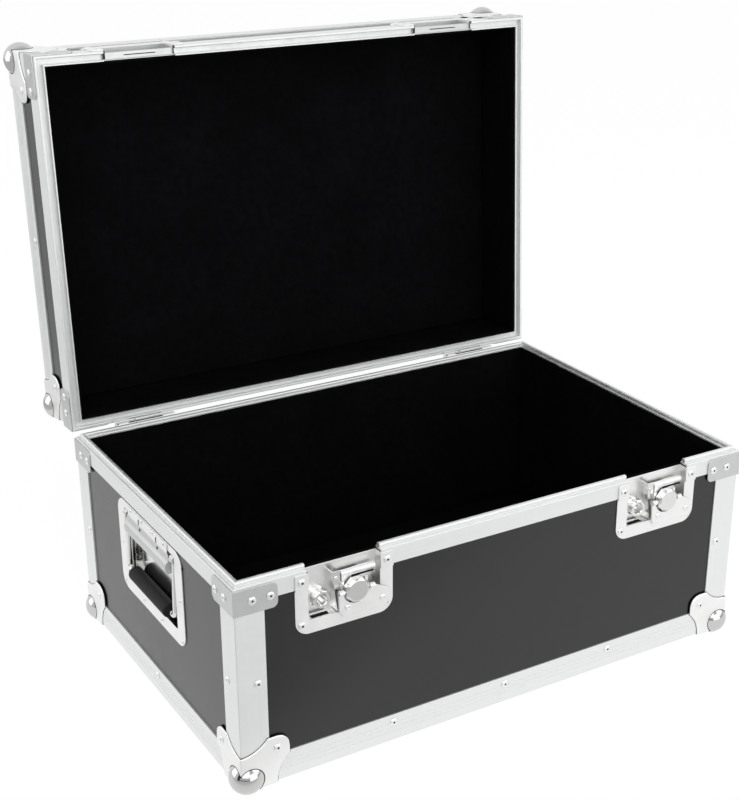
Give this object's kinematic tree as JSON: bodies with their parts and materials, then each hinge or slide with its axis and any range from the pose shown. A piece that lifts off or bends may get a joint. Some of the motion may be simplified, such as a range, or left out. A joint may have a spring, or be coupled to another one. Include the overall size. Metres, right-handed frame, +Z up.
{
  "type": "transport case",
  "caption": "Open transport case of black laminated board with aluminium edges, ball corners, recessed turn latches, drop handles and a hinged lid.",
  "frame": {"origin": "on the floor under the middle of the base, in the plane that the ball corners stand on", "axes": "+X to the right, +Y to the back where the hinges are, +Z up"},
  "size_m": [0.616, 0.5255, 0.6332],
  "materials": {
    "black_laminate": "plywood faced with satin black laminate",
    "black_felt": "black felt lining",
    "aluminium_edge": "satin extruded aluminium",
    "plated_corner": "bright zinc-plated pressed steel",
    "steel_brace": "zinc-plated sheet steel",
    "rivet_steel": "set blind rivet heads",
    "hinge_steel": "zinc-plated sheet steel",
    "latch_nickel": "bright nickel-plated pressed steel",
    "handle_chrome": "bright chromed steel",
    "black_rubber": "matt black rubber grip"
  },
  "bodies": {
    "base": {"base_back_board": "black_laminate", "base_back_rim": "aluminium_edge", "base_ball_corners": "plated_corner", "base_bottom_board": "black_laminate", "base_corner_angles": "aluminium_edge", "base_edge_angles": "aluminium_edge", "base_front_board": "black_laminate", "base_front_rim": "aluminium_edge", "base_left_board": "black_laminate", "base_left_rim": "aluminium_edge", "base_lining": "black_felt", "base_right_board": "black_laminate", "base_right_rim": "aluminium_edge", "base_rim_braces": "steel_brace", "base_rivets": "rivet_steel", "left_handle_dish": "handle_chrome", "left_handle_pin": "handle_chrome", "left_handle_strap": "handle_chrome", "left_hinge_base_leaf": "hinge_steel", "left_hinge_pin": "hinge_steel", "left_latch_dish": "latch_nickel", "left_latch_guide": "latch_nickel", "right_handle_dish": "handle_chrome", "right_handle_pin": "handle_chrome", "right_handle_strap": "handle_chrome", "right_hinge_base_leaf": "hinge_steel", "right_hinge_pin": "hinge_steel", "right_latch_dish": "latch_nickel", "right_latch_guide": "latch_nickel"},
    "lid": {"left_hinge_lid_leaf": "hinge_steel", "left_latch_keeper": "latch_nickel", "lid_back_board": "black_laminate", "lid_back_rim": "aluminium_edge", "lid_ball_corners": "plated_corner", "lid_corner_angles": "aluminium_edge", "lid_edge_angles": "aluminium_edge", "lid_front_board": "black_laminate", "lid_front_rim": "aluminium_edge", "lid_left_board": "black_laminate", "lid_left_rim": "aluminium_edge", "lid_lining": "black_felt", "lid_right_board": "black_laminate", "lid_right_rim": "aluminium_edge", "lid_rim_braces": "steel_brace", "lid_rivets": "rivet_steel", "lid_top_board": "black_laminate", "right_hinge_lid_leaf": "hinge_steel", "right_latch_keeper": "latch_nickel"},
    "left_bail": {"left_handle_bail": "handle_chrome", "left_handle_grip": "black_rubber"},
    "left_key": {"left_latch_key": "latch_nickel"},
    "left_hook": {"left_latch_hook": "latch_nickel"},
    "left_wing": {"left_latch_wing": "latch_nickel"},
    "right_bail": {"right_handle_bail": "handle_chrome", "right_handle_grip": "black_rubber"},
    "right_key": {"right_latch_key": "latch_nickel"},
    "right_hook": {"right_latch_hook": "latch_nickel"},
    "right_wing": {"right_latch_wing": "latch_nickel"}
  },
  "joints": [
    {"name": "lid_hinge", "type": "hinge", "parent": "base", "child": "lid", "pos_m": [0, 0.2045, 0.22515], "axis": [1, 0, 0], "range_deg": [0, 93]},
    {"name": "left_handle_swing", "type": "hinge", "parent": "base", "child": "left_bail", "pos_m": [-0.297, 0, 0.191], "axis": [0, 1, 0], "range_deg": [0, 90]},
    {"name": "left_key_turn", "type": "hinge", "parent": "base", "child": "left_key", "pos_m": [-0.1773, -0.2, 0.194], "axis": [0, -1, 0], "range_deg": [0, 180]},
    {"name": "left_hook_lift", "type": "slide", "parent": "base", "child": "left_hook", "axis": [0, 0, 1], "range_m": [0, 0.0246]},
    {"name": "left_wing_fold", "type": "hinge", "parent": "left_key", "child": "left_wing", "pos_m": [-0.1773, -0.2057, 0.194], "axis": [-1, 0, 0], "range_deg": [0, 90]},
    {"name": "right_handle_swing", "type": "hinge", "parent": "base", "child": "right_bail", "pos_m": [0.297, 0, 0.191], "axis": [0, -1, 0], "range_deg": [0, 90]},
    {"name": "right_key_turn", "type": "hinge", "parent": "base", "child": "right_key", "pos_m": [0.1967, -0.2, 0.194], "axis": [0, -1, 0], "range_deg": [0, 180]},
    {"name": "right_hook_lift", "type": "slide", "parent": "base", "child": "right_hook", "axis": [0, 0, 1], "range_m": [0, 0.0246]},
    {"name": "right_wing_fold", "type": "hinge", "parent": "right_key", "child": "right_wing", "pos_m": [0.1967, -0.2057, 0.194], "axis": [-1, 0, 0], "range_deg": [0, 90]}
  ],
  "couplings": [
    {"joint": "left_key_turn", "follows": "left_hook_lift", "rad_per_m": 127.71},
    {"joint": "right_key_turn", "follows": "right_hook_lift", "rad_per_m": 127.71}
  ]
}
